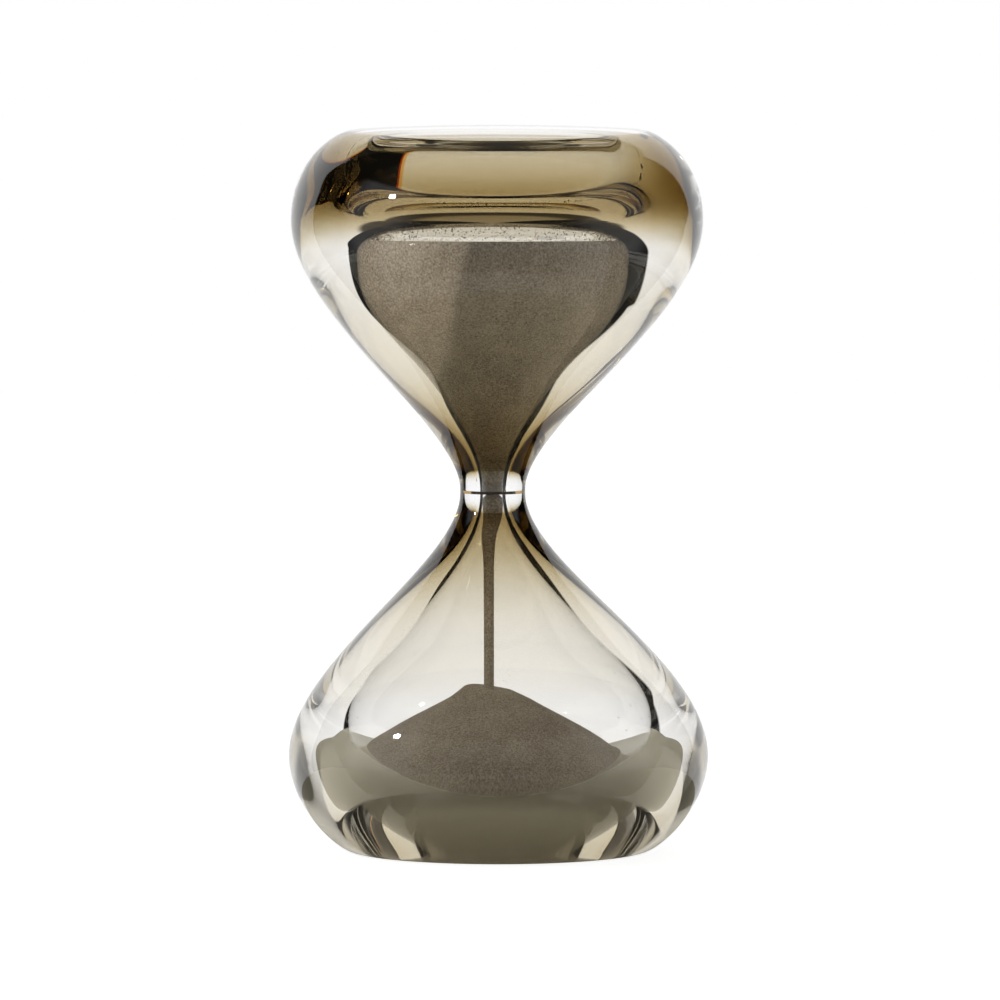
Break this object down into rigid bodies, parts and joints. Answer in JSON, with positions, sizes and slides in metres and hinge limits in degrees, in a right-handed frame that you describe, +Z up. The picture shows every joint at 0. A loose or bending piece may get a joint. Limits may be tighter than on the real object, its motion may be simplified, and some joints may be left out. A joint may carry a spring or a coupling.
{
  "type": "hourglass",
  "caption": "Frameless sand timer of thick solid glass: round bulbs pinched at the waist, a smoke-tinted inner chamber, and fine sand running from top to bottom.",
  "frame": {"origin": "middle of the flat face that the hourglass stands on", "axes": "+Z up along the axis of both bulbs; the glass is round, so X and Y have no preferred direction"},
  "size_m": [0.0874, 0.0874, 0.15],
  "materials": {
    "clear_glass": "fire-polished, clear",
    "smoke_glass": "smoke grey-brown, see-through",
    "disc_metal": "dulled",
    "bond": "clear adhesive, cured",
    "sand": "fine dry grains"
  },
  "bodies": {
    "root": {"lower_glass_casing": "clear_glass", "upper_glass_casing": "clear_glass", "lower_smoke_core": "smoke_glass", "upper_smoke_core": "smoke_glass", "orifice_disc": "disc_metal", "neck_bond": "bond", "upper_sand": "sand", "sand_stream": "sand", "sand_heap": "sand"}
  },
  "joints": []
}
